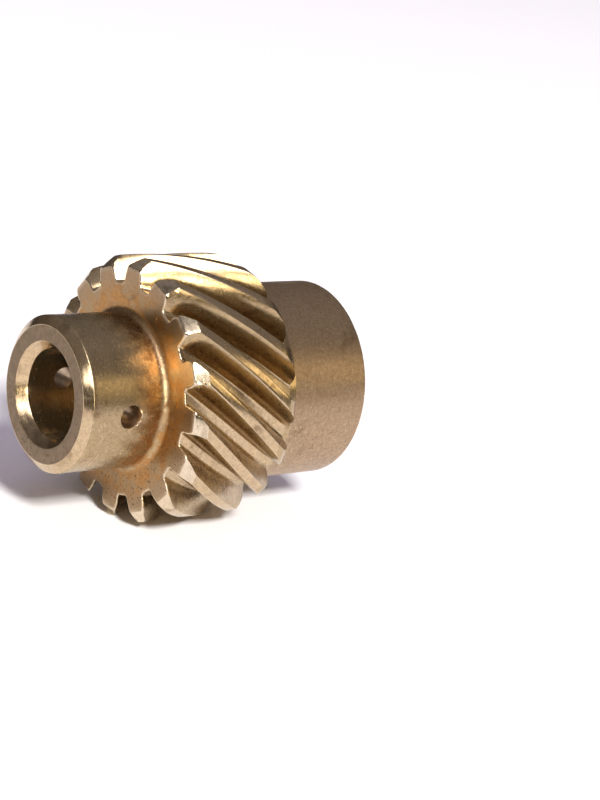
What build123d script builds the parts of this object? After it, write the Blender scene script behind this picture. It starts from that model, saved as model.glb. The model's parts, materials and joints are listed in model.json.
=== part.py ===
from build123d import *
import os
from math import acos, asin, atan, cos, degrees, pi, radians, sin, sqrt, tan

# A bronze crossed-helical drive gear, turned and hobbed from one piece of bar.
# A slim pin hub leads at the front, the toothed band is in the middle and a thick hub runs to the rear.
# All sizes are in millimetres.
#
# Row frame: the bore lies along Y with the pin hub at -Y, +X is the axis of the cross-pin hole,
# and +Z is up with the gear lying on its teeth. The origin is on the bore axis, halfway along the teeth.
# The gear is drawn with its axis along Z, from the front end to the rear end, and turned at the end.

# Bore and cross-pin hole
BORE_RADIUS = 12.7 / 2              # for a half-inch shaft
FRONT_COUNTERSINK_DEPTH = 1.4
FRONT_COUNTERSINK_RADIUS = 7.65
REAR_COUNTERSINK = 0.8
PIN_HOLE_RADIUS = 3.175 / 2         # for an eighth-inch spring pin
PIN_HOLE_FROM_FRONT = 7.35

# Front hub
FRONT_HUB_RADIUS = 11.22
FRONT_CHAMFER_LENGTH = 0.96
FRONT_CHAMFER_HEIGHT = 1.31
HUB_FILLET_RADIUS = 1.0             # where the hub runs into the front face of the teeth

# Places along the axis, from the front end
TEETH_START = 13.1
TEETH_END = 32.2
TOTAL_LENGTH = 47.5

# Rear hub
REAR_HUB_RADIUS = 14.77
REAR_EDGE_CHAMFER = 0.4

# Teeth: standard full-depth involutes on a right-hand helix
TEETH = 16
NORMAL_MODULE = 1.75
HELIX_ANGLE = 37.5
NORMAL_PRESSURE_ANGLE = 20.0
DEDENDUM_FACTOR = 1.25
TOOTH_PHASE = -2.5                  # angle from the pin hole to a tooth's middle, halfway along the teeth
TOOTH_CHAMFER = 1.5                 # 45 degree bevel on the front corners of the teeth
REAR_ROUND_RADIUS = 3.0             # the rear ends of the teeth are rounded off by this radius
REAR_ROUND_ANGLE = 70.0             # and then run straight down to the rear hub at this slope
FLANK_POINTS = 9
OVERCUT = 0.6                       # the tooth section is drawn this much too large, then trimmed

# Worked out from the tooth system
PITCH_RADIUS = TEETH * NORMAL_MODULE / cos(radians(HELIX_ANGLE)) / 2
TIP_RADIUS = PITCH_RADIUS + NORMAL_MODULE
ROOT_RADIUS = PITCH_RADIUS - DEDENDUM_FACTOR * NORMAL_MODULE
TRANSVERSE_PRESSURE_ANGLE = atan(tan(radians(NORMAL_PRESSURE_ANGLE)) / cos(radians(HELIX_ANGLE)))
BASE_RADIUS = PITCH_RADIUS * cos(TRANSVERSE_PRESSURE_ANGLE)
ROOT_FILLET_RADIUS = (BASE_RADIUS**2 - ROOT_RADIUS**2) / (2 * ROOT_RADIUS)
TWIST_PER_MM = degrees(tan(radians(HELIX_ANGLE)) / PITCH_RADIUS)

# Places along the axis, from the origin halfway along the teeth
FRONT_Z = -(TEETH_START + TEETH_END) / 2
TEETH_FRONT_Z = FRONT_Z + TEETH_START
TEETH_REAR_Z = FRONT_Z + TEETH_END
REAR_Z = FRONT_Z + TOTAL_LENGTH
PIN_HOLE_Z = FRONT_Z + PIN_HOLE_FROM_FRONT


def involute(angle):
    """The involute function: how far the involute has swung from its start, in radians."""
    return tan(angle) - angle


def polar(radius, angle):
    """A point in the section plane, from its radius and its angle in radians."""
    return (radius * cos(angle), radius * sin(angle))


def tooth_half_angle(radius):
    """Half of the angle that a tooth takes up at this radius, in radians."""
    swing = involute(TRANSVERSE_PRESSURE_ANGLE) - involute(acos(BASE_RADIUS / radius))
    return pi / (2 * TEETH) + swing


def flank_points():
    """Radius and half angle of the points along one flank, from the base circle past the tip."""
    points = []
    for step in range(FLANK_POINTS):
        radius = BASE_RADIUS + (TIP_RADIUS + OVERCUT - BASE_RADIUS) * (step / (FLANK_POINTS - 1)) ** 2
        points.append((radius, tooth_half_angle(radius)))
    return points


def tooth_edges(middle):
    """The outline of one tooth about its middle angle, from its root fillet to the next tooth's."""
    flank = flank_points()
    rising = [polar(radius, middle - half) for radius, half in flank]
    falling = [polar(radius, middle + half) for radius, half in reversed(flank)]
    foot_half = flank[0][1]
    fillet_span = asin(ROOT_FILLET_RADIUS / (ROOT_RADIUS + ROOT_FILLET_RADIUS))
    fillet_centre = polar(ROOT_RADIUS + ROOT_FILLET_RADIUS, middle + foot_half + fillet_span)
    next_fillet_centre = middle + 2 * pi / TEETH - foot_half - fillet_span
    next_centre = polar(ROOT_RADIUS + ROOT_FILLET_RADIUS, next_fillet_centre)
    fillet_end = polar(ROOT_RADIUS, middle + foot_half + fillet_span)
    next_start = polar(ROOT_RADIUS, next_fillet_centre)
    next_foot = polar(BASE_RADIUS, middle + 2 * pi / TEETH - foot_half)
    space_middle = middle + pi / TEETH
    return [
        Edge.make_spline([Vector(*point) for point in rising]),
        Edge.make_three_point_arc(rising[-1], polar(TIP_RADIUS + OVERCUT, middle), falling[0]),
        Edge.make_spline([Vector(*point) for point in falling]),
        Edge.make_three_point_arc(falling[-1], fillet_middle(falling[-1], fillet_end, fillet_centre), fillet_end),
        Edge.make_three_point_arc(fillet_end, polar(ROOT_RADIUS, space_middle), next_start),
        Edge.make_three_point_arc(next_start, fillet_middle(next_start, next_foot, next_centre), next_foot),
    ]


def fillet_middle(start, end, centre):
    """The middle of a root fillet, from its two ends and its centre."""
    away_x = (start[0] + end[0]) / 2 - centre[0]
    away_y = (start[1] + end[1]) / 2 - centre[1]
    reach = ROOT_FILLET_RADIUS / sqrt(away_x**2 + away_y**2)
    return (centre[0] + away_x * reach, centre[1] + away_y * reach)


def toothed_band():
    """The teeth with their core: the gear's section, twisted along the axis and a little too long."""
    start = TEETH_FRONT_Z - OVERCUT
    length = TEETH_REAR_Z + OVERCUT - start
    front_turn = radians(TOOTH_PHASE + TWIST_PER_MM * start)
    edges = []
    for tooth in range(TEETH):
        edges += tooth_edges(front_turn + tooth * 2 * pi / TEETH)
    section = Pos(0, 0, start) * Face(Wire(edges))
    return Solid.extrude_linear_with_rotation(section, (0, 0, start), (0, 0, length), TWIST_PER_MM * length)


def line(points):
    """Straight edges through (radius, z) points."""
    return Polyline([(radius, 0, z) for radius, z in points]).edges()


def arc(start, middle, end):
    """An arc through three (radius, z) points."""
    return ThreePointArc(*[(radius, 0, z) for radius, z in (start, middle, end)])


def turned(edges):
    """A solid of revolution about Z from the edges of a closed outline."""
    return revolve(Face(Wire(edges)), Axis.Z)


def rear_round_point(angle):
    """A point (radius, z) on the rounded rear corner of the teeth, from its angle past the tip."""
    slope = radians(REAR_ROUND_ANGLE)
    foot_radius = TIP_RADIUS - REAR_ROUND_RADIUS * (1 - cos(slope))
    foot_z = TEETH_REAR_Z - (foot_radius - REAR_HUB_RADIUS) / tan(slope)
    start_z = foot_z - REAR_ROUND_RADIUS * sin(slope)
    return (TIP_RADIUS - REAR_ROUND_RADIUS * (1 - cos(angle)), start_z + REAR_ROUND_RADIUS * sin(angle))


def tooth_blank():
    """The turned shape of the toothed band: bevelled at the front and rounded off at the rear."""
    slope = radians(REAR_ROUND_ANGLE)
    round_start, round_middle, round_end = [rear_round_point(slope * part) for part in (0, 0.5, 1)]
    front = [
        (0, TEETH_FRONT_Z),
        (TIP_RADIUS - TOOTH_CHAMFER, TEETH_FRONT_Z),
        (TIP_RADIUS, TEETH_FRONT_Z + TOOTH_CHAMFER),
        round_start,
    ]
    rear = [round_end, (REAR_HUB_RADIUS, TEETH_REAR_Z), (0, TEETH_REAR_Z), (0, TEETH_FRONT_Z)]
    return turned([*line(front), arc(round_start, round_middle, round_end), *line(rear)])


def hubs():
    """The front hub with its fillet into the teeth, and the rear hub."""
    dip = HUB_FILLET_RADIUS * (1 - 1 / sqrt(2))
    fillet_foot = (FRONT_HUB_RADIUS, TEETH_FRONT_Z - HUB_FILLET_RADIUS)
    fillet_middle = (FRONT_HUB_RADIUS + dip, TEETH_FRONT_Z - dip)
    fillet_head = (FRONT_HUB_RADIUS + HUB_FILLET_RADIUS, TEETH_FRONT_Z)
    front = [
        (0, FRONT_Z),
        (FRONT_HUB_RADIUS - FRONT_CHAMFER_HEIGHT, FRONT_Z),
        (FRONT_HUB_RADIUS, FRONT_Z + FRONT_CHAMFER_LENGTH),
        fillet_foot,
    ]
    rear = [
        fillet_head,
        (REAR_HUB_RADIUS, TEETH_FRONT_Z),
        (REAR_HUB_RADIUS, REAR_Z - REAR_EDGE_CHAMFER),
        (REAR_HUB_RADIUS - REAR_EDGE_CHAMFER, REAR_Z),
        (0, REAR_Z),
        (0, FRONT_Z),
    ]
    return turned([*line(front), arc(fillet_foot, fillet_middle, fillet_head), *line(rear)])


def bore():
    """The through bore with a countersink at each end."""
    return turned(line([
        (0, FRONT_Z),
        (FRONT_COUNTERSINK_RADIUS, FRONT_Z),
        (BORE_RADIUS, FRONT_Z + FRONT_COUNTERSINK_DEPTH),
        (BORE_RADIUS, REAR_Z - REAR_COUNTERSINK),
        (BORE_RADIUS + REAR_COUNTERSINK, REAR_Z),
        (0, REAR_Z),
        (0, FRONT_Z),
    ]))


def pin_hole():
    """The cross-pin hole through both walls of the front hub."""
    reach = FRONT_HUB_RADIUS + PIN_HOLE_RADIUS
    return Pos(0, 0, PIN_HOLE_Z) * Rot(0, 90, 0) * Cylinder(PIN_HOLE_RADIUS, 2 * reach)


gear = hubs() + (tooth_blank() & toothed_band())
gear = gear - bore() - pin_hole()
gear = Rot(-90, 0, 0) * gear

os.makedirs("parts", exist_ok=True)
export_step(gear, "parts/drive_gear.step")
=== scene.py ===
import json
import math

import bpy
import numpy as np
from mathutils import Matrix, Vector


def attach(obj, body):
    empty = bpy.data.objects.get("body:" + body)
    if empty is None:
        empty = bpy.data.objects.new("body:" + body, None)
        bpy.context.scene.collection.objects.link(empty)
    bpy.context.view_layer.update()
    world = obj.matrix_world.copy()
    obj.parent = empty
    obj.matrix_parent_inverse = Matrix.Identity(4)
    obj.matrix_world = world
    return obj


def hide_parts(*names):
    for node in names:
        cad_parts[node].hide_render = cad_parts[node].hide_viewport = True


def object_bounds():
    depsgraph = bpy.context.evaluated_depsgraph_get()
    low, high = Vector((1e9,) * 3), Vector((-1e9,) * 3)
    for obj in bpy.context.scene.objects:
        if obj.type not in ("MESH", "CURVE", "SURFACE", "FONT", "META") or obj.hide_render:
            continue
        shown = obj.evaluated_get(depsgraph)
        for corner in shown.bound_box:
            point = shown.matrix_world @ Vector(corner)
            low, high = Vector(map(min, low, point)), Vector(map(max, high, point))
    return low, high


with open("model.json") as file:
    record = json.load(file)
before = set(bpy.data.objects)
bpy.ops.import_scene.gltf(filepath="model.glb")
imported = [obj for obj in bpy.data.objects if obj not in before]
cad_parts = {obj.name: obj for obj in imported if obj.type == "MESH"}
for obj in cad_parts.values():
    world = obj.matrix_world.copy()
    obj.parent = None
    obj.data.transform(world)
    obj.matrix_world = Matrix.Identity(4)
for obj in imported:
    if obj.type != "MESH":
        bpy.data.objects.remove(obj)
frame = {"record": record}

# A bronze crossed-helical drive gear on a pale floor. The gear's mesh is made here as one closed skin:
# a grid whose columns follow the teeth and whose rows run along the outline from the front end, over the
# teeth, to the rear end and back through the bore. All lengths are in millimetres until the mesh is made.

MM = 0.001
NODE = "drive_gear"
cad_low, cad_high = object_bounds()

# ---------------------------------------------------------------- sizes taken from the frame

mounts = {mount["name"]: mount for mount in frame["record"]["mounts"]}
FRONT = cad_low.y / MM
REAR = cad_high.y / MM
TIP_RADIUS = cad_high.z / MM
BORE_RADIUS = mounts["bore"]["dims"]["r_mm"]
PIN_HOLE_RADIUS = mounts["cross_pin_hole"]["dims"]["r_mm"]
PIN_HOLE_Y = mounts["cross_pin_hole"]["pos_m"][1] / MM

# ---------------------------------------------------------------- the gear's other sizes

TEETH = 16
NORMAL_MODULE = 1.75
DEDENDUM_FACTOR = 1.25
HELIX_ANGLE = math.radians(37.5)
NORMAL_PRESSURE_ANGLE = math.radians(20.0)
TOOTH_PHASE = math.radians(-2.5)        # from the pin hole to a tooth's middle, halfway along the teeth
PITCH_RADIUS = TIP_RADIUS - NORMAL_MODULE
ROOT_RADIUS = PITCH_RADIUS - DEDENDUM_FACTOR * NORMAL_MODULE
TWIST = math.tan(HELIX_ANGLE) / PITCH_RADIUS    # radians for each millimetre along the axis
TEETH_START = 13.1                      # from the front end of the gear
TEETH_END = 32.2
TEETH_FRONT = FRONT + TEETH_START
TEETH_REAR = FRONT + TEETH_END
TOOTH_BEVEL = 1.5
REAR_ROUND_RADIUS = 3.0
REAR_ROUND_ANGLE = math.radians(70.0)
TIP_EDGE_RADIUS = 0.12                  # the long corners of the teeth are just broken
ACUTE_EDGE = 0.34                       # rounding of the front edges of the teeth on their acute side
OBTUSE_EDGE = 0.12                      # and on their obtuse side
BEVEL_EDGE = 0.1                        # how far back the front bevel's own edge is softened
BEVEL_EDGE_INSET = 0.05
FLOOR_MARGIN = 0.12                     # points this close above the root circle count as the floor
HOB_STEP_RADIUS = 16.7                  # where the cutter left a line along one side of each tooth
HOB_STEP_DEPTH = 0.05

FRONT_HUB_RADIUS = 11.22
FRONT_CHAMFER_HEIGHT = 1.31
FRONT_CHAMFER_LENGTH = 0.96
COUNTERSINK_RADIUS = 7.65
COUNTERSINK_DEPTH = 1.4
HUB_FILLET = 1.0
REAR_HUB_RADIUS = 14.77
REAR_CHAMFER = 0.4
REAR_COUNTERSINK = 0.8
EDGE_BREAK = 0.08                       # how far the turned corners are rounded to each side
PIN_RIM_DEPTH = 0.45                    # where the pin hole's rim starts to flare, below the hub's surface
PIN_RIM_SLOPE = 0.55
PIN_HOLE_SIDES = 72
PIN_HOLE_REACH = 2.4                    # the mesh is finer this far along from the pin hole's middle
SHARP_ANGLE = math.radians(42)          # faces that meet at more than this show an edge

# ---------------------------------------------------------------- the tooth outline


def involute(angle):
    """The involute function: how far the involute has swung from its start, in radians."""
    return math.tan(angle) - angle


def tooth_half_outline():
    """One side of a tooth as complex points about the tooth's middle, from the land to the floor's middle."""
    pressure = math.atan(math.tan(NORMAL_PRESSURE_ANGLE) / math.cos(HELIX_ANGLE))
    base_radius = PITCH_RADIUS * math.cos(pressure)

    def half_angle(radius):
        return math.pi / (2 * TEETH) + involute(pressure) - involute(math.acos(base_radius / radius))

    def flank(radius):
        return radius * np.exp(1j * half_angle(radius))

    fillet_radius = (base_radius**2 - ROOT_RADIUS**2) / (2 * ROOT_RADIUS)
    fillet_span = math.asin(fillet_radius / (ROOT_RADIUS + fillet_radius))
    foot = half_angle(base_radius)
    fillet_centre = (ROOT_RADIUS + fillet_radius) * np.exp(1j * (foot + fillet_span))
    land_end = half_angle(TIP_RADIUS) - TIP_EDGE_RADIUS / TIP_RADIUS
    points = [TIP_RADIUS * np.exp(1j * land_end * part) for part in (0.33, 1.0)]
    corner, below = flank(TIP_RADIUS), flank(TIP_RADIUS - TIP_EDGE_RADIUS)
    for part in (0.33, 0.67):
        points.append((1 - part) ** 2 * points[1] + 2 * part * (1 - part) * corner + part**2 * below)
    for part in np.linspace(1, 0, 8):
        points.append(flank(base_radius + (TIP_RADIUS - TIP_EDGE_RADIUS - base_radius) * part**1.2))
    start = np.angle(points[-1] - fillet_centre)
    end = np.angle(ROOT_RADIUS * np.exp(1j * (foot + fillet_span)) - fillet_centre)
    for part in (0.25, 0.5, 0.75, 1.0):
        turn = start + (end - start) * part
        points.append(fillet_centre + fillet_radius * np.exp(1j * turn))
    floor_start = foot + fillet_span
    points.append(ROOT_RADIUS * np.exp(1j * (floor_start + math.pi / TEETH) / 2))
    return np.array(points)


def tooth_outline():
    """The gear's whole section at its middle plane: complex points anticlockwise and their normals.
    Also whether each point is on a land, a flank (low or high side) or a floor."""
    half = tooth_half_outline()
    one = np.concatenate([np.conj(half[::-1]), half])
    high = np.arange(len(one)) >= len(half)
    turns = TOOTH_PHASE + np.arange(TEETH) * 2 * math.pi / TEETH
    points = np.concatenate([one * np.exp(1j * turn) for turn in turns])
    tangent = np.roll(points, -1) - np.roll(points, 1)
    normals = -1j * tangent / np.abs(tangent)
    radius = np.abs(points)
    kinds = np.where(np.tile(high, TEETH), "flank_high", "flank_low")
    kinds = np.where(radius > TIP_RADIUS - TIP_EDGE_RADIUS * 0.9, "land", kinds)
    kinds = np.where(radius < ROOT_RADIUS + FLOOR_MARGIN, "floor", kinds)
    hob_step = (kinds == "flank_low") & (radius < HOB_STEP_RADIUS)
    points = points - normals * HOB_STEP_DEPTH * hob_step
    return points, normals, kinds


section, section_normal, section_kind = tooth_outline()
COLUMNS = len(section)
section_radius = np.abs(section)
# From 0 to 1: 1 where a flank faces the side on which the helix makes the front edge acute.
section_acute = np.clip(-(section_normal * np.conj(section) / section_radius).imag, 0, 1)
# The angle of each column on the teeth, and on the turned stretches, where the columns are evenly spaced.
column_angle = np.unwrap(np.angle(section))
even_angle = column_angle.mean() + (np.arange(COLUMNS) - (COLUMNS - 1) / 2) * 2 * math.pi / COLUMNS
FRONT_TURN = TWIST * TEETH_FRONT
REAR_TURN = TWIST * TEETH_REAR

# ---------------------------------------------------------------- corners of the turned outline, (radius, y)

mouth = (COUNTERSINK_RADIUS, FRONT)
throat = (BORE_RADIUS, FRONT + COUNTERSINK_DEPTH)
face_edge = (FRONT_HUB_RADIUS - FRONT_CHAMFER_HEIGHT, FRONT)
hub_edge = (FRONT_HUB_RADIUS, FRONT + FRONT_CHAMFER_LENGTH)
fillet_foot = (FRONT_HUB_RADIUS, TEETH_FRONT - HUB_FILLET)
rear_foot = (REAR_HUB_RADIUS, TEETH_REAR)
rear_edge = (REAR_HUB_RADIUS, REAR - REAR_CHAMFER)
rear_face_edge = (REAR_HUB_RADIUS - REAR_CHAMFER, REAR)
rear_mouth = (BORE_RADIUS + REAR_COUNTERSINK, REAR)
rear_throat = (BORE_RADIUS, REAR - REAR_COUNTERSINK)

# ---------------------------------------------------------------- rows of the skin

rows = []            # each row: radius, angle and y for every column
row_region = []      # the material region between this row and the next
row_trimmed = []     # whether the turned shape trims the teeth at each column of the row


def add_row(radius, angle, y, region, trimmed=False):
    """Add a row, each part of it being one number or a number for each column."""
    rows.append([np.broadcast_to(np.asarray(part, float), COLUMNS) for part in (radius, angle, y)])
    row_region.append(region)
    row_trimmed.append(np.broadcast_to(trimmed, COLUMNS))


def blank_radius(y):
    """The turned shape that the teeth are cut into: bevelled at the front, rounded off at the rear."""
    bevel = TIP_RADIUS - TOOTH_BEVEL + (y - TEETH_FRONT)
    foot_radius = TIP_RADIUS - REAR_ROUND_RADIUS * (1 - math.cos(REAR_ROUND_ANGLE))
    foot_y = TEETH_REAR - (foot_radius - REAR_HUB_RADIUS) / math.tan(REAR_ROUND_ANGLE)
    start_y = foot_y - REAR_ROUND_RADIUS * math.sin(REAR_ROUND_ANGLE)
    if y >= foot_y:
        rear = foot_radius - (y - foot_y) * math.tan(REAR_ROUND_ANGLE)
    elif y >= start_y:
        rear = TIP_RADIUS - REAR_ROUND_RADIUS + math.sqrt(REAR_ROUND_RADIUS**2 - (y - start_y) ** 2)
    else:
        rear = TIP_RADIUS
    return min(bevel, rear, TIP_RADIUS)


def blank_y_at(radius, low, high):
    """Where the turned shape has this radius, between two places of which only one is larger."""
    rising = blank_radius(high) > blank_radius(low)
    for _ in range(50):
        middle = (low + high) / 2
        if (blank_radius(middle) < radius) == rising:
            low = middle
        else:
            high = middle
    return (low + high) / 2


def band_places():
    """The y of each row of the toothed band. Where the turned shape cuts the flanks, each row meets
    a column exactly, so that the edge between them runs from corner to corner."""
    flank_radii = np.unique(np.round(section_radius, 6))
    front_end = TEETH_FRONT + TOOTH_BEVEL
    middle = (front_end + TEETH_REAR) / 2
    places = [TEETH_FRONT + step for step in (0.0, 0.04, 0.1, 0.18, 0.26, 0.34)]
    places += [blank_y_at(radius, TEETH_FRONT, front_end)
               for radius in flank_radii if TIP_RADIUS - TOOTH_BEVEL < radius < TIP_RADIUS - 0.01]
    places += list(np.linspace(front_end, front_end + 0.2, 3))
    rear_start = blank_y_at(TIP_RADIUS - 0.004, middle, TEETH_REAR)
    places += list(np.linspace(front_end + 0.2, rear_start, 25)[1:])
    places += [blank_y_at(radius, middle, TEETH_REAR)
               for radius in flank_radii if REAR_HUB_RADIUS < radius < TIP_RADIUS - 0.01]
    places += [blank_y_at(REAR_HUB_RADIUS + step, middle, TEETH_REAR) for step in (0.45, 0.25, 0.1)]
    return np.unique(np.round(places, 5))


def smooth_noise(waves, seed):
    """Smooth random values from 0 to 1, one for each column, as a sum of a few waves."""
    random = np.random.default_rng(seed)
    turn = np.arange(COLUMNS) * 2 * math.pi / COLUMNS
    total = np.zeros(COLUMNS)
    for _ in range(14):
        total += np.cos(turn * random.integers(waves // 4, waves) + random.uniform(0, 2 * math.pi))
    return 0.5 + 0.5 * np.tanh(total / 4)


edge_unevenness = 0.75 + 0.5 * smooth_noise(waves=220, seed=3)


def band_row(y):
    """Radius and angle of each column where the toothed band is cut at y, and whether it is trimmed there."""
    depth = y - TEETH_FRONT
    reach = (OBTUSE_EDGE + (ACUTE_EDGE - OBTUSE_EDGE) * section_acute) * edge_unevenness
    left = np.clip(1 - depth / reach, 0, 1)
    inset = reach * (1 - np.sqrt(1 - left**2))
    bevel_inset = BEVEL_EDGE_INSET * max(0, 1 - depth / BEVEL_EDGE) ** 2
    point = section - section_normal * inset
    limit = blank_radius(y) - bevel_inset
    angle = np.angle(point * np.conj(section)) + column_angle + TWIST * y
    return np.minimum(np.abs(point), limit), angle, np.abs(point) > limit + 0.003


def turned_rows(points, turn, region):
    """Rows for a plain turned stretch, through (radius, y) points."""
    for radius, y in points:
        add_row(radius, even_angle + turn, y, region)


def rows_end():
    """Radius and y of the last row, which is a turned one."""
    radius, _, y = rows[-1]
    return radius[0], y[0]


def straight(start, end, count):
    """Points from just after start to just before end."""
    start, end = np.array(start), np.array(end)
    return [tuple(start + (end - start) * part / (count + 1)) for part in range(1, count + 1)]


def rounded(corner, before, after):
    """Points round a corner of the outline, from the side of one neighbour to the other."""
    corner, before, after = (np.array(point, float) for point in (corner, before, after))
    start = corner + (before - corner) / np.linalg.norm(before - corner) * EDGE_BREAK
    end = corner + (after - corner) / np.linalg.norm(after - corner) * EDGE_BREAK
    parts = np.linspace(0, 1, 4)
    return [tuple((1 - p) ** 2 * start + 2 * p * (1 - p) * corner + p**2 * end) for p in parts]


def front_rows():
    """Rows from the countersink's outer edge over the front hub to the foot of the teeth."""
    turned_rows(rounded(mouth, throat, face_edge), FRONT_TURN, "end_face")
    turned_rows(straight(rows_end(), face_edge, 3), FRONT_TURN, "end_face")
    turned_rows(rounded(face_edge, mouth, hub_edge), FRONT_TURN, "chamfer")
    turned_rows(straight(rows_end(), hub_edge, 2), FRONT_TURN, "chamfer")
    turned_rows(rounded(hub_edge, face_edge, fillet_foot), FRONT_TURN, "front_hub")
    before, beyond = ((FRONT_HUB_RADIUS, PIN_HOLE_Y + step) for step in (-PIN_HOLE_REACH, PIN_HOLE_REACH))
    turned_rows(straight(rows_end(), before, 6) + [before], FRONT_TURN, "front_hub")
    turned_rows(straight(before, beyond, 14) + [beyond], FRONT_TURN, "front_hub")
    turned_rows(straight(beyond, fillet_foot, 2), FRONT_TURN, "front_hub")
    for part in np.linspace(0, 1, 7):
        turn = part * math.pi / 2
        radius = FRONT_HUB_RADIUS + HUB_FILLET * (1 - math.cos(turn))
        y = TEETH_FRONT - HUB_FILLET + HUB_FILLET * math.sin(turn)
        add_row(radius, even_angle + FRONT_TURN, y, "hub_fillet" if part < 1 else "front_face")


def toothed_rows():
    """Rows out across the toothed band's front face and along its teeth."""
    places = band_places()
    outline_radius, outline_angle, _ = band_row(places[0])
    start_radius = FRONT_HUB_RADIUS + HUB_FILLET
    start_angle = even_angle + FRONT_TURN
    for part in np.linspace(0, 1, 9)[1:-1]:
        radius = start_radius + (outline_radius - start_radius) * part
        angle = start_angle + (outline_angle - start_angle) * part
        add_row(radius, angle, TEETH_FRONT, "front_face")
    for y in places:
        radius, angle, trimmed = band_row(y)
        add_row(radius, angle, y, "teeth", trimmed)


def rear_rows():
    """Rows over the rear hub and its end, where the columns even out again."""
    hub = straight(rear_foot, rear_edge, 9)
    for number, (radius, y) in enumerate(hub):
        part = number / (len(hub) - 1)
        add_row(radius, column_angle + (even_angle - column_angle) * part + REAR_TURN, y, "rear_hub")
    turned_rows(rounded(rear_edge, rear_foot, rear_face_edge), REAR_TURN, "chamfer")
    turned_rows(rounded(rear_face_edge, rear_edge, rear_mouth), REAR_TURN, "end_face")
    turned_rows(straight(rows_end(), rear_mouth, 5), REAR_TURN, "end_face")
    turned_rows(rounded(rear_mouth, rear_face_edge, rear_throat), REAR_TURN, "countersink")
    turned_rows(straight(rows_end(), rear_throat, 1), REAR_TURN, "countersink")


def bore_rows():
    """Rows back through the bore to the front countersink, closer together round the pin hole."""
    turned_rows(rounded(rear_throat, rear_mouth, throat), REAR_TURN, "bore")
    start, beside = rows_end(), (BORE_RADIUS, PIN_HOLE_Y + PIN_HOLE_REACH)
    for radius, y in straight(start, beside, 11):
        part = (start[1] - y) / (start[1] - beside[1])
        add_row(radius, even_angle + REAR_TURN + (FRONT_TURN - REAR_TURN) * part, y, "bore")
    near_mouth = (BORE_RADIUS, PIN_HOLE_Y - PIN_HOLE_REACH)
    turned_rows([beside] + straight(beside, near_mouth, 14) + [near_mouth], FRONT_TURN, "bore")
    turned_rows(straight(near_mouth, throat, 5), FRONT_TURN, "bore")
    turned_rows(rounded(throat, beside, mouth), FRONT_TURN, "countersink")
    turned_rows(straight(rows_end(), mouth, 3), FRONT_TURN, "countersink")


front_rows()
toothed_rows()
rear_rows()
bore_rows()

# ---------------------------------------------------------------- the gear's mesh

REGIONS = ("end_face", "chamfer", "countersink", "front_hub", "hub_fillet", "front_face", "bevel", "land",
           "flank_low", "flank_high", "floor", "rear_round", "rear_hub", "bore", "pin_hole", "pin_rim")


def teeth_region(corners):
    """The region of a face of the toothed band, from the rows and columns of its corners."""
    if any(row_trimmed[row][column] for row, column in corners):
        return "bevel" if rows[corners[0][0]][2][0] < 0 else "rear_round"
    kinds = [section_kind[column] for _, column in corners]
    for kind in ("flank_low", "flank_high", "floor"):
        if kind in kinds:
            return kind
    return "land"


def split_face(corners):
    """A face's four corners as one face or, where the trimmed edge crosses it, as two triangles."""
    trimmed = [row_trimmed[row][column] for row, column in corners]
    if sum(trimmed) != 1 or not all(row_region[row] == "teeth" for row, _ in corners):
        return [corners]
    first = trimmed.index(True)
    turned = corners[first:] + corners[:first]
    return [(turned[3], turned[0], turned[1]), (turned[1], turned[2], turned[3])]


def wear_of_rows():
    """How worn each point is, from 0 to 1: the corners of the teeth and of the front face stand out."""
    wear = np.zeros((len(rows), COLUMNS))
    corner = (section_kind == "land") & (section_radius < TIP_RADIUS - 1e-4)
    for number, (radius, _, y) in enumerate(rows):
        if row_region[number] == "teeth":
            wear[number] = np.where(corner & (radius < blank_radius(y[0]) - 1e-3), 0.3, 0.0)
            depth = y[0] - TEETH_FRONT
            reach = 0.12 + 0.3 * section_acute
            wear[number] = np.maximum(wear[number], np.clip(1.2 - abs(depth - reach / 2) / reach * 1.6, 0, 1))
    return wear


def gear_mesh():
    """The closed skin as a mesh in metres, with one material slot for each region."""
    radius, angle, y = (np.stack([row[part] for row in rows]) for part in range(3))
    points = np.stack([radius * np.cos(angle), y, -radius * np.sin(angle)], axis=-1) * MM
    faces = []
    regions = []
    for row, region in enumerate(row_region):
        below = (row + 1) % len(rows)
        for column in range(COLUMNS):
            right = (column + 1) % COLUMNS
            whole = ((row, column), (row, right), (below, right), (below, column))
            for corners in split_face(whole):
                faces.append([at_row * COLUMNS + at_column for at_row, at_column in corners])
                regions.append(REGIONS.index(teeth_region(corners) if region == "teeth" else region))
    mesh = bpy.data.meshes.new("gear")
    mesh.from_pydata(points.reshape(-1, 3).tolist(), [], faces)
    mesh.polygons.foreach_set("material_index", regions)
    wear = mesh.attributes.new("wear", "FLOAT", "POINT")
    wear.data.foreach_set("value", wear_of_rows().ravel())
    return mesh


def pin_hole_cutter():
    """A turned plug along X that cuts the cross hole through both walls and breaks its outer edges."""
    inner = FRONT_HUB_RADIUS - PIN_RIM_DEPTH
    outer = FRONT_HUB_RADIUS + 2.0
    flare = PIN_HOLE_RADIUS + (outer - inner) * PIN_RIM_SLOPE
    outline = [(-outer, flare), (-inner, PIN_HOLE_RADIUS), (inner, PIN_HOLE_RADIUS), (outer, flare)]
    sides = PIN_HOLE_SIDES
    points = []
    for x, radius in outline:
        for step in range(sides):
            turn = 2 * math.pi * (step + 0.5) / sides
            points.append((x * MM, (PIN_HOLE_Y + radius * math.cos(turn)) * MM, radius * math.sin(turn) * MM))
    faces = [tuple(range(sides))[::-1], tuple(range(3 * sides, 4 * sides))]
    for ring in range(3):
        for step in range(sides):
            right = (step + 1) % sides
            faces.append((ring * sides + step, ring * sides + right, (ring + 1) * sides + right,
                          (ring + 1) * sides + step))
    mesh = bpy.data.meshes.new("cutter")
    mesh.from_pydata(points, [], faces)
    rim, wall = REGIONS.index("pin_rim"), REGIONS.index("pin_hole")
    slots = [rim, rim] + [rim] * sides + [wall] * sides + [rim] * sides
    mesh.polygons.foreach_set("material_index", slots)
    return mesh


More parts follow.
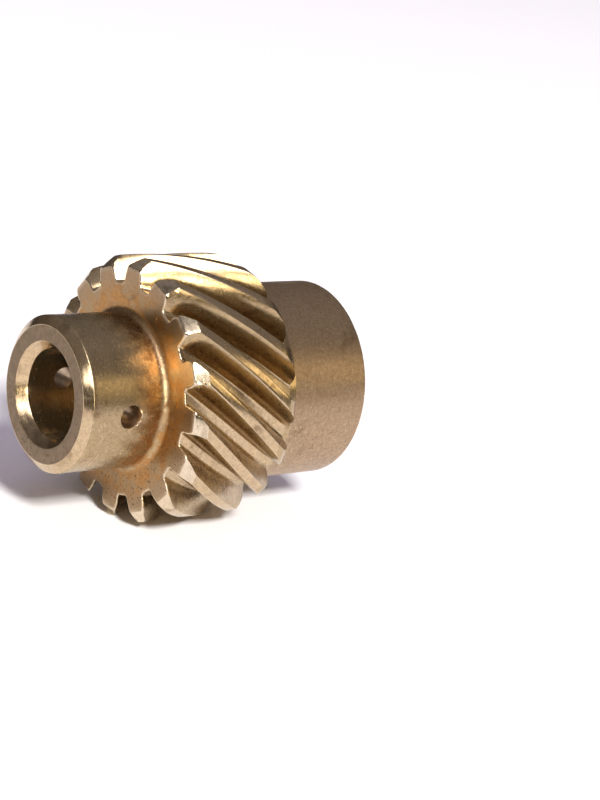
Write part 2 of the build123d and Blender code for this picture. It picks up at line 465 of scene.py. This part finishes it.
# ---------------------------------------------------------------- materials


class Nodes:
    """A short way to write a material's node tree. Its places are in millimetres from the origin, with
    radius and turn measured about the bore's axis."""

    def __init__(self, name):
        self.material = bpy.data.materials.new(name)
        self.material.use_nodes = True
        self.tree = self.material.node_tree
        self.shader = self.tree.nodes["Principled BSDF"]
        place = self.tree.nodes.new("ShaderNodeTexCoord").outputs["Object"]
        self.place = self.scale(place, 1 / MM)
        split = self.tree.nodes.new("ShaderNodeSeparateXYZ")
        self.tree.links.new(self.place, split.inputs[0])
        self.x, self.y, self.z = split.outputs
        self.radius = self.math("SQRT", self.math("ADD", self.math("MULTIPLY", self.x, self.x),
                                                  self.math("MULTIPLY", self.z, self.z)))
        self.turn = self.math("ARCTAN2", self.z, self.x)

    def put(self, value, socket):
        """Link a socket to this one, or set a plain value on it."""
        if isinstance(value, bpy.types.NodeSocket):
            self.tree.links.new(value, socket)
        else:
            socket.default_value = value

    def math(self, operation, first, second=0.0):
        node = self.tree.nodes.new("ShaderNodeMath")
        node.operation = operation
        self.put(first, node.inputs[0])
        self.put(second, node.inputs[1])
        return node.outputs[0]

    def scale(self, vector, factor):
        node = self.tree.nodes.new("ShaderNodeVectorMath")
        node.operation = "SCALE"
        self.put(vector, node.inputs[0])
        node.inputs["Scale"].default_value = factor
        return node.outputs[0]

    def stretched(self, turn, y, radius):
        """A place for marks that run round or along: features to a radian of turn and to a millimetre."""
        node = self.tree.nodes.new("ShaderNodeCombineXYZ")
        for value, factor, socket in zip((self.turn, self.y, self.radius), (turn, y, radius), node.inputs):
            self.put(self.math("MULTIPLY", value, factor), socket)
        return node.outputs[0]

    def noise(self, scale, detail=3.0, place=None, rough=0.55, warp=0.0):
        """Noise from about 0.3 to 0.7, with scale in features to the millimetre."""
        node = self.tree.nodes.new("ShaderNodeTexNoise")
        self.put(place or self.place, node.inputs["Vector"])
        node.inputs["Scale"].default_value = scale
        node.inputs["Detail"].default_value = detail
        node.inputs["Roughness"].default_value = rough
        node.inputs["Distortion"].default_value = warp
        return node.outputs["Fac"]

    def ramp(self, value, low, high, start=0.0, end=1.0):
        """Start below low, end above high, smooth in between."""
        node = self.tree.nodes.new("ShaderNodeMapRange")
        node.interpolation_type = "SMOOTHSTEP"
        self.put(value, node.inputs["Value"])
        for name, number in (("From Min", low), ("From Max", high), ("To Min", start), ("To Max", end)):
            node.inputs[name].default_value = number
        return node.outputs["Result"]

    def colours(self, factor, first, second):
        """The first colour where the factor is 0, the second where it is 1."""
        node = self.tree.nodes.new("ShaderNodeMix")
        node.data_type = "RGBA"
        self.put(factor, node.inputs["Factor"])
        for value, socket in ((first, node.inputs["A"]), (second, node.inputs["B"])):
            self.put((*value, 1.0) if isinstance(value, tuple) else value, socket)
        return node.outputs["Result"]

    def bump(self, height, distance, under=None):
        """A bump of this height in millimetres, on top of the one under it."""
        node = self.tree.nodes.new("ShaderNodeBump")
        node.inputs["Distance"].default_value = distance * MM
        self.put(height, node.inputs["Height"])
        if under is not None:
            self.put(under, node.inputs["Normal"])
        return node.outputs["Normal"]

    def attribute(self, name):
        node = self.tree.nodes.new("ShaderNodeAttribute")
        node.attribute_name = name
        return node.outputs["Fac"]

    def finish(self, colour, roughness, normal):
        """Put the results on the shader, as a metal, and give back the material."""
        self.shader.inputs["Metallic"].default_value = 1.0
        self.put(colour, self.shader.inputs["Base Color"])
        self.put(roughness, self.shader.inputs["Roughness"])
        self.put(normal, self.shader.inputs["Normal"])
        return self.material


BRONZE = (0.50, 0.37, 0.205)
PALE_BRONZE = (0.74, 0.62, 0.45)
BROWN = (0.17, 0.10, 0.05)
LAND_BRONZE = (0.62, 0.465, 0.28)
ORANGE = (0.43, 0.22, 0.07)
OLIVE = (0.34, 0.245, 0.13)
HUB_BRONZE = (0.46, 0.345, 0.195)
GREY_BRONZE = (0.455, 0.32, 0.195)
# Far paler than the other bronze, as painted light: with it, the deep bore shows brighter.
PAINTED_LIGHT_BORE_BRONZE = (0.87, 0.72, 0.49)
PIN_HOLE_BRONZE = (0.50, 0.37, 0.24)
TARNISHED = (0.235, 0.17, 0.105)
TOOTH_END_BRONZE = (0.33, 0.225, 0.125)
SPECK_BROWN = (0.035, 0.02, 0.012)


def bronze_region(name, colour=BRONZE, stain=BROWN, stained=0.4, roughness=0.27, marks=None, mark_depth=0.002,
                  pits=0.5, worn=False, grain=0.0015, glint=1.0, tint=None):
    """Bronze with stains, pits, painted glints, a fine grain and, where marks is set, cutting marks of that
    kind.
    tint is a function of the nodes and the colour so far that adds what only this region shows."""
    nodes = Nodes(name)
    patches = nodes.noise(0.28, detail=5, warp=0.8)
    mottle = nodes.noise(1.7, detail=4)
    fine = nodes.noise(5.0, detail=3)
    base = nodes.colours(nodes.ramp(mottle, 0.35, 0.68), colour, tuple(part * 0.82 for part in colour))
    base = nodes.colours(nodes.ramp(patches, 0.62 - 0.2 * stained, 0.78, 0.0, 0.75), base, stain)
    if tint:
        base = tint(nodes, base)
    # Painted glints: pale specks painted into the colour as small highlights. The same specks are also a bump
    # below.
    glints = nodes.ramp(nodes.noise(3.6, detail=4, rough=0.6), 0.56, 0.66)
    glint_areas = nodes.ramp(nodes.noise(0.35, detail=2), 0.35, 0.6, 0.1 * glint, 0.55 * glint)
    glints = nodes.math("MULTIPLY", glints, glint_areas)
    base = nodes.colours(glints, base, PALE_BRONZE)
    dust = nodes.ramp(nodes.noise(4.4, detail=3, rough=0.6), 0.56, 0.68, 0.0, 0.45)
    base = nodes.colours(dust, base, stain)
    speck = nodes.noise(2.6, detail=6, rough=0.72)
    pit = nodes.ramp(speck, 0.70 - 0.04 * pits, 0.75)
    dark = tuple(part * 0.35 for part in stain)
    base = nodes.colours(nodes.math("MULTIPLY", pit, min(1.0, 0.9 * pits)), base, dark)
    rough = nodes.math("ADD", nodes.ramp(mottle, 0.3, 0.7, roughness - 0.02, roughness + 0.04),
                       nodes.math("MULTIPLY", pit, 0.25))
    rough = nodes.math("ADD", rough, nodes.math("MULTIPLY", dust, 0.15))
    normal = nodes.bump(nodes.math("MULTIPLY", pit, -1.0), 0.03 * pits)
    normal = nodes.bump(glints, 1.5 * grain, under=normal)
    if marks == "turned":
        ridge = nodes.noise(1.0, detail=4, place=nodes.stretched(0.25, 5.5, 5.5))
        normal = nodes.bump(ridge, mark_depth, under=normal)
        rough = nodes.math("ADD", rough, nodes.ramp(ridge, 0.3, 0.7, -0.02, 0.03))
    if marks == "hobbed":
        ridge = nodes.noise(1.0, detail=3, place=nodes.stretched(4.0, 1.6, 6.0))
        normal = nodes.bump(ridge, mark_depth, under=normal)
    normal = nodes.bump(fine, grain, under=normal)
    if worn:
        edge = nodes.math("MULTIPLY", nodes.attribute("wear"), nodes.ramp(mottle, 0.25, 0.5))
        base = nodes.colours(edge, base, PALE_BRONZE)
        rough = nodes.math("SUBTRACT", rough, nodes.math("MULTIPLY", edge, 0.1))
    return nodes.finish(base, rough, normal)


def specks(nodes, base, above=0.25, below=0.9):
    """Small dark specks, above and below being their strengths on the upper and the lower side."""
    speck = nodes.ramp(nodes.noise(2.4, detail=2, rough=0.6), 0.60, 0.65)
    share = nodes.ramp(nodes.z, 3.0, -8.0, above, below)
    return nodes.colours(nodes.math("MULTIPLY", speck, share), base, SPECK_BROWN)


def scratches(nodes, base):
    """Short bright scratches around the rear hub, with a few specks."""
    streaks = nodes.noise(1.0, detail=3, rough=0.7, place=nodes.stretched(9.0, 1.1, 0.0))
    scratch = nodes.ramp(streaks, 0.66, 0.70, 0.0, 0.6)
    return specks(nodes, nodes.colours(scratch, base, PALE_BRONZE), above=0.15, below=0.4)


def hub_stains_and_shade(nodes, base):
    """Old oil on the front hub, close to the teeth, in blotches. Its colour has painted shade: dark brown
    above and orange below.
    """
    near = nodes.ramp(nodes.y, TEETH_FRONT - 5.5, TEETH_FRONT - 0.8)
    blotch = nodes.ramp(nodes.noise(0.55, detail=4, warp=0.6), 0.40, 0.62)
    # Painted shade: the stain is painted dark brown on the upper side and orange on the lower side.
    stain = nodes.colours(nodes.ramp(nodes.z, -4.0, 3.0), ORANGE, BROWN)
    return nodes.colours(nodes.math("MULTIPLY", near, blotch), base, stain)


def fillet_stains_and_shade(nodes, base):
    """The fillet holds the same oil. Its upper part is painted dark all over as painted shade, and it blends
    into the front face.
    """
    # Painted shade: the upper side of the fillet is painted dark brown.
    dark = nodes.colours(nodes.ramp(nodes.z, 4.5, 7.0, 0.0, 0.85), hub_stains_and_shade(nodes, base), BROWN)
    outer = nodes.ramp(nodes.radius, FRONT_HUB_RADIUS + 0.3, FRONT_HUB_RADIUS + HUB_FILLET)
    return nodes.colours(outer, dark, ORANGE)


def face_stains(nodes, base):
    """The front face is orange near the hub and plain bronze out on the teeth, with dark specks."""
    patch = nodes.ramp(nodes.noise(0.45, detail=5), 0.40, 0.62, 0.0, 0.8)
    base = nodes.colours(patch, base, OLIVE)
    edge = nodes.math("ADD", nodes.radius, nodes.ramp(nodes.noise(1.4, detail=5), 0.3, 0.7, -0.7, 0.7))
    return specks(nodes, nodes.colours(nodes.ramp(edge, 13.8, 16.6), base, TOOTH_END_BRONZE))


def ring_stains(nodes, base):
    """The end face's specks."""
    return specks(nodes, base, above=0.05, below=0.55)


def mouth_darker_below(nodes, base):
    """The lower half of the countersink is darker, in patches."""
    dull = nodes.ramp(nodes.noise(0.7, detail=5), 0.3, 0.6, 0.35, 0.9)
    return nodes.colours(nodes.math("MULTIPLY", dull, nodes.ramp(nodes.z, -1.0, -3.5)), base, TARNISHED)


def gear_materials():
    """One material for each region, in the order of REGIONS."""
    turned = {"marks": "turned"}
    hobbed = {"marks": "hobbed", "worn": True}
    return [
        bronze_region("bronze_end_face", TARNISHED, stained=0.3, roughness=0.45, pits=0.9, grain=0.004,
                      glint=0.15, tint=ring_stains, **turned),
        bronze_region("bronze_chamfer", LAND_BRONZE, stained=0.4, roughness=0.14, pits=0.3, **turned),
        bronze_region("bronze_countersink", LAND_BRONZE, stained=0.3, roughness=0.18, pits=0.3,
                      tint=mouth_darker_below, **turned),
        bronze_region("bronze_front_hub", HUB_BRONZE, roughness=0.27, grain=0.008, mark_depth=0.001,
                      tint=hub_stains_and_shade, **turned),
        bronze_region("bronze_hub_fillet", BRONZE, roughness=0.42, tint=fillet_stains_and_shade, **turned),
        bronze_region("bronze_front_face", ORANGE, stained=0.4, roughness=0.31, pits=2.2, glint=0.1,
                      worn=True, tint=face_stains, **turned),
        bronze_region("bronze_bevel", PALE_BRONZE, roughness=0.14, pits=0.5, worn=True, grain=0.0006),
        bronze_region("bronze_land", LAND_BRONZE, roughness=0.20, pits=0.9, worn=True, **turned),
        bronze_region("bronze_flank_low", BRONZE, stained=0.6, roughness=0.27, pits=0.8, grain=0.004,
                      **hobbed),
        bronze_region("bronze_flank_high", BRONZE, roughness=0.20, pits=0.9, grain=0.003, **hobbed),
        bronze_region("bronze_floor", LAND_BRONZE, roughness=0.28, **hobbed),
        bronze_region("bronze_rear_round", BRONZE, stained=0.3, roughness=0.2, worn=True, **turned),
        bronze_region("bronze_rear_hub", GREY_BRONZE, stained=0.3, roughness=0.40, pits=1.0, grain=0.012,
                      tint=scratches, **turned),
        # The bore's pale colour is painted light.
        bronze_region("bronze_bore", PAINTED_LIGHT_BORE_BRONZE, stained=0.3, roughness=0.19, pits=0.1, grain=0.0005,
                      **turned),
        bronze_region("bronze_pin_hole", PIN_HOLE_BRONZE, stained=0.3, roughness=0.3),
        bronze_region("bronze_pin_rim", PALE_BRONZE, stained=0.2, roughness=0.2, pits=0.2),
    ]


# ---------------------------------------------------------------- the gear as a piece


def make_gear():
    """The gear's skin with its cross hole cut, riding on the root body in place of the CAD node."""
    gear = bpy.data.objects.new("gear", gear_mesh())
    cutter = bpy.data.objects.new("cutter", pin_hole_cutter())
    materials = gear_materials()
    for piece in (gear, cutter):
        bpy.context.scene.collection.objects.link(piece)
        for material in materials:
            piece.data.materials.append(material)
    cut = gear.modifiers.new("pin_hole", "BOOLEAN")
    cut.operation = "DIFFERENCE"
    cut.solver = "EXACT"
    cut.material_mode = "INDEX"
    cut.object = cutter
    graph = bpy.context.evaluated_depsgraph_get()
    holed = bpy.data.meshes.new_from_object(gear.evaluated_get(graph))
    gear.modifiers.clear()
    gear.data = holed
    bpy.data.objects.remove(cutter)
    holed.shade_smooth()
    holed.set_sharp_from_angle(angle=SHARP_ANGLE)
    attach(gear, "root")
    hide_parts(NODE)


# ---------------------------------------------------------------- studio

CAMERA_PLACE = (0.22506, -0.17626, 0.08700)
CAMERA_FORWARD = (-0.71379, 0.63816, -0.28855)
CAMERA_UP = (-0.32492, 0.06324, 0.94363)        # the camera is a little rolled
CAMERA_LENS = 91.17
CAMERA_AZIMUTH = 131.8                          # from the gear to the camera
SHEET_HALF = 4.0
SHEET_COLOURS = ((0.93, 0.92, 0.93), (0.95, 0.94, 0.95))
CARD_COLOUR = (0.075, 0.06, 0.045, 1)
BACKDROP_COLOUR = (0.86, 0.85, 0.86, 1)
ROOM_COLOURS = ((0.0, (0.05, 0.042, 0.038)), (0.3, (0.14, 0.12, 0.11)), (0.6, (0.24, 0.22, 0.22)),
                (0.8, (0.23, 0.21, 0.22)), (1.0, (0.56, 0.55, 0.66)))      # from the horizon to straight up


def heading(azimuth, elevation):
    """A direction from the object: azimuth 0 along +Y and 90 along +X, elevation above the horizon."""
    a, e = math.radians(azimuth), math.radians(elevation)
    return Vector((math.sin(a) * math.cos(e), math.cos(a) * math.cos(e), math.sin(e)))


def make_camera():
    """The camera at its viewing angle."""
    data = bpy.data.cameras.new("camera")
    data.sensor_width = 36.0
    data.lens = CAMERA_LENS
    camera = bpy.data.objects.new("camera", data)
    bpy.context.scene.collection.objects.link(camera)
    forward = Vector(CAMERA_FORWARD).normalized()
    right = forward.cross(Vector(CAMERA_UP)).normalized()
    turned = Matrix((right, right.cross(forward), -forward)).transposed().to_4x4()
    camera.matrix_world = Matrix.Translation(CAMERA_PLACE) @ turned
    bpy.context.scene.camera = camera


def soft_light(name, azimuth, elevation, width, height, power, colour, distance=1.0, on_sheet=False):
    """A rectangular soft light that faces the gear and shows either in its gloss or on the sheet."""
    data = bpy.data.lights.new(name, "AREA")
    data.shape = "RECTANGLE"
    data.size = width
    data.size_y = height
    data.energy = power
    data.color = colour
    light = bpy.data.objects.new(name, data)
    bpy.context.scene.collection.objects.link(light)
    place = heading(azimuth, elevation) * distance
    light.matrix_world = Matrix.Translation(place) @ place.to_track_quat("Z", "Y").to_matrix().to_4x4()
    light.visible_glossy = not on_sheet
    light.visible_diffuse = on_sheet


def make_floor():
    """A plain white sheet under the gear."""
    nodes = Nodes("white_floor")
    nodes.shader.inputs["Metallic"].default_value = 0.0
    nodes.shader.inputs["Specular IOR Level"].default_value = 0.2
    grain = nodes.noise(0.8, detail=3)
    nodes.put(nodes.colours(nodes.ramp(grain, 0.3, 0.7), *SHEET_COLOURS), nodes.shader.inputs["Base Color"])
    nodes.put(nodes.ramp(grain, 0.3, 0.7, 0.75, 0.85), nodes.shader.inputs["Roughness"])
    mesh = bpy.data.meshes.new("floor")
    half, level = SHEET_HALF, -TIP_RADIUS * MM
    mesh.from_pydata([(-half, -half, level), (half, -half, level), (half, half, level), (-half, half, level)],
                     [], [(0, 1, 2, 3)])
    mesh.materials.append(nodes.material)
    floor = bpy.data.objects.new("floor", mesh)
    bpy.context.scene.collection.objects.link(floor)


def dark_card(name, corners):
    """A dark card that only shows in the gear's gloss, as the unlit side of a studio does."""
    material = bpy.data.materials.new(name)
    material.use_nodes = True
    shader = material.node_tree.nodes["Principled BSDF"]
    shader.inputs["Base Color"].default_value = CARD_COLOUR
    shader.inputs["Roughness"].default_value = 1.0
    shader.inputs["Specular IOR Level"].default_value = 0.0
    mesh = bpy.data.meshes.new(name)
    mesh.from_pydata([tuple(corner) for corner in corners], [], [(0, 1, 2, 3)])
    mesh.materials.append(material)
    card = bpy.data.objects.new(name, mesh)
    bpy.context.scene.collection.objects.link(card)
    card.visible_camera = False
    card.visible_diffuse = False
    card.visible_shadow = False


def make_cards():
    """Dark cards just above the sheet, in front of the gear and to its right as the camera sees it."""
    level = Vector((0, 0, -TIP_RADIUS * MM + 0.001))
    near, side = heading(CAMERA_AZIMUTH, 0), heading(CAMERA_AZIMUTH - 90, 0)
    dark_card("front_card", [level + near * 0.125 - side * 0.3, level + near * 0.125 + side * 0.3,
                             level + near * 2.5 + side * 1.2, level + near * 2.5 - side * 1.2])
    dark_card("side_card", [level + side * 0.24 - near * 0.05, level + side * 2.0 - near * 0.6,
                            level + side * 2.0 + near * 2.0, level + side * 0.24 + near * 0.3])


def make_world():
    """A grey room, dark at the horizon and lighter overhead. Seen directly, it is a pale backdrop."""
    world = bpy.data.worlds.new("room")
    bpy.context.scene.world = world
    world.use_nodes = True
    tree = world.node_tree
    split = tree.nodes.new("ShaderNodeSeparateXYZ")
    tree.links.new(tree.nodes.new("ShaderNodeTexCoord").outputs["Generated"], split.inputs[0])
    ramp = tree.nodes.new("ShaderNodeValToRGB")
    tree.links.new(split.outputs["Z"], ramp.inputs["Fac"])
    ramp.color_ramp.elements.remove(ramp.color_ramp.elements[0])
    for number, (place, colour) in enumerate(ROOM_COLOURS):
        element = ramp.color_ramp.elements[0] if number == 0 else ramp.color_ramp.elements.new(place)
        element.position = place
        element.color = (*colour, 1)
    room = tree.nodes["Background"]
    tree.links.new(ramp.outputs["Color"], room.inputs["Color"])
    backdrop = tree.nodes.new("ShaderNodeBackground")
    backdrop.inputs["Color"].default_value = BACKDROP_COLOUR
    seen = tree.nodes.new("ShaderNodeMixShader")
    tree.links.new(tree.nodes.new("ShaderNodeLightPath").outputs["Is Camera Ray"], seen.inputs["Fac"])
    tree.links.new(room.outputs["Background"], seen.inputs[1])
    tree.links.new(backdrop.outputs["Background"], seen.inputs[2])
    tree.links.new(seen.outputs["Shader"], tree.nodes["World Output"].inputs["Surface"])


def make_lights():
    """Softboxes that only show in the gloss, and for the sheet a small key light with a purple-grey fill."""
    soft_light("softbox", 138, 42, 0.60, 0.70, 13, (1.0, 0.98, 0.98))
    soft_light("low_softbox", 160, 19, 0.42, 0.26, 1.6, (1.0, 0.98, 0.97))
    soft_light("warm_side", 44, 17, 0.30, 0.40, 0.8, (1.0, 0.82, 0.5))
    soft_light("face_glow", 131, 7, 0.30, 0.22, 3.4, (1.0, 0.90, 0.68))
    soft_light("sheet_key", 107, 37, 1.33, 1.33, 1000, (1.0, 0.985, 0.965), distance=8.0, on_sheet=True)
    soft_light("sheet_fill", 0, 88, 2.5, 2.5, 11, (0.78, 0.60, 1.0), distance=3.0, on_sheet=True)


bpy.context.scene.view_settings.view_transform = "Standard"
make_gear()
make_floor()
make_cards()
make_world()
make_lights()
make_camera()
